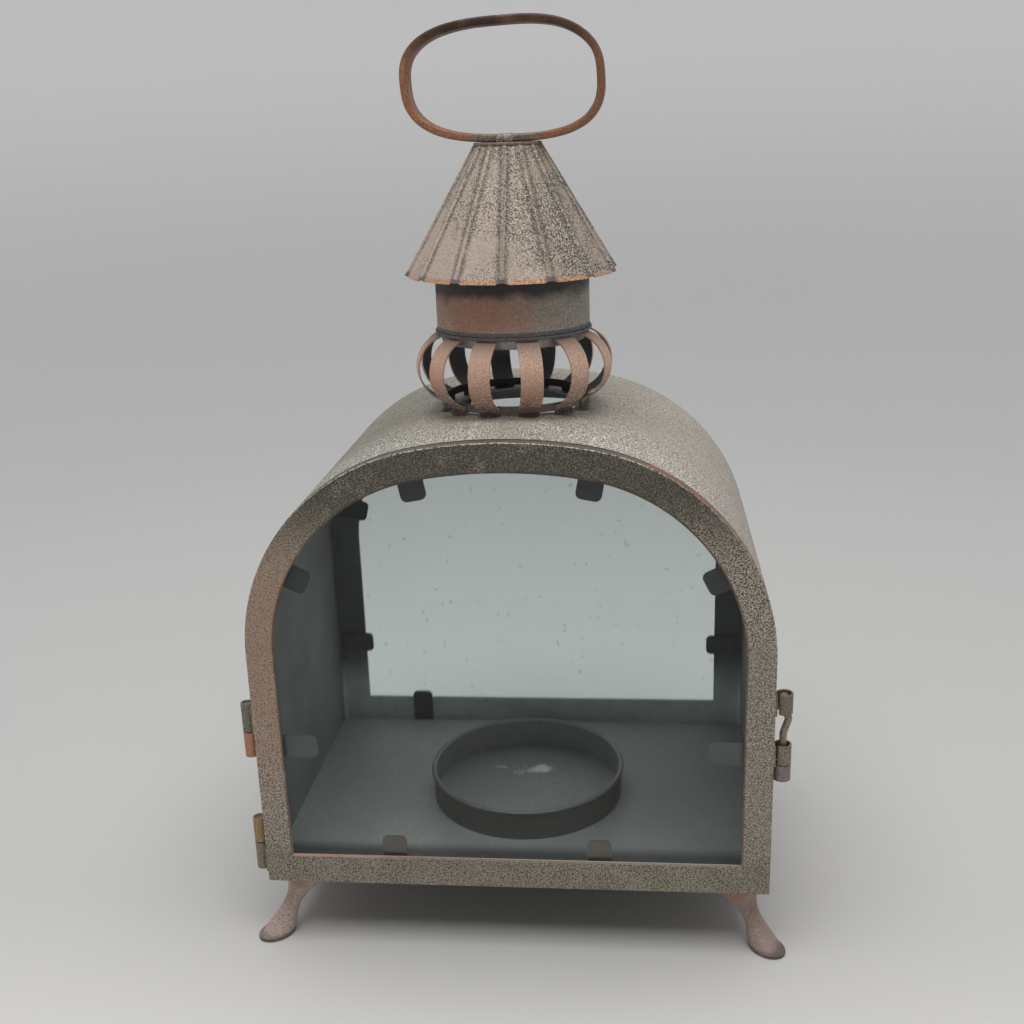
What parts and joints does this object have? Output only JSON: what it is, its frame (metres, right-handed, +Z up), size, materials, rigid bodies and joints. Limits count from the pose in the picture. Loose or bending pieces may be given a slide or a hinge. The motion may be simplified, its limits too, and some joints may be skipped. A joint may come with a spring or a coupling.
{
  "type": "candle lantern",
  "caption": "Arched sheet-metal candle lantern with glazed swinging door and back, bowed vent cage, crimped cone cap, fixed loop handle, candle pan and splayed feet.",
  "frame": {"origin": "on the ground below the middle of the body, between the four feet", "axes": "+Z up, the glazed door faces -Y, +X to the right as the door is faced"},
  "size_m": [0.2682, 0.1812, 0.4457],
  "materials": {
    "grey_sheet": "speckled grey patina, matt",
    "salmon_sheet": "salmon-brown patina, matt",
    "rusty_strap": "copper-brown patina, satin",
    "dark_sheet": "dark, matt",
    "rosy_foot": "rosy patina, matt",
    "rolled_barrel": "ochre-grey patina, matt",
    "solder": "dull solder",
    "pin_steel": "dull wire",
    "clear_glass": "clear, slightly grey-green"
  },
  "bodies": {
    "lantern": {"body_shell": "grey_sheet", "floor_plate": "grey_sheet", "back_frame": "grey_sheet", "back_glass": "clear_glass", "back_glass_tabs": "dark_sheet", "front_left_foot": "rosy_foot", "front_right_foot": "rosy_foot", "back_left_foot": "rosy_foot", "back_right_foot": "rosy_foot", "candle_pan": "grey_sheet", "vent_lower_ring": "dark_sheet", "vent_upper_ring": "dark_sheet", "vent_strip_01": "salmon_sheet", "vent_strip_02": "salmon_sheet", "vent_strip_03": "salmon_sheet", "vent_strip_04": "salmon_sheet", "vent_strip_05": "salmon_sheet", "vent_strip_06": "salmon_sheet", "vent_strip_07": "salmon_sheet", "vent_strip_08": "salmon_sheet", "vent_strip_09": "salmon_sheet", "vent_strip_10": "salmon_sheet", "vent_strip_11": "salmon_sheet", "vent_strip_12": "salmon_sheet", "collar": "salmon_sheet", "cap_cone": "grey_sheet", "cap_disc": "rusty_strap", "carry_handle": "rusty_strap", "handle_solder": "solder", "upper_hinge_body_knuckle": "rolled_barrel", "lower_hinge_body_knuckle": "rolled_barrel", "upper_hinge_pin": "pin_steel", "lower_hinge_pin": "pin_steel", "latch_keeper": "rolled_barrel"},
    "door": {"door_frame": "grey_sheet", "door_glass": "clear_glass", "door_glass_tabs": "dark_sheet", "upper_hinge_door_knuckle": "rolled_barrel", "lower_hinge_door_knuckle": "rolled_barrel", "latch_upper_guide": "rolled_barrel", "latch_lower_guide": "rolled_barrel"},
    "latch": {"latch_pin": "rolled_barrel"}
  },
  "joints": [
    {"name": "door_swing", "type": "hinge", "parent": "lantern", "child": "door", "pos_m": [-0.1286, -0.082, 0.0861], "axis": [0, 0, -1], "range_deg": [0, 180]},
    {"name": "latch_slide", "type": "slide", "parent": "door", "child": "latch", "axis": [0, 0, -1], "range_m": [0, 0.008]}
  ]
}
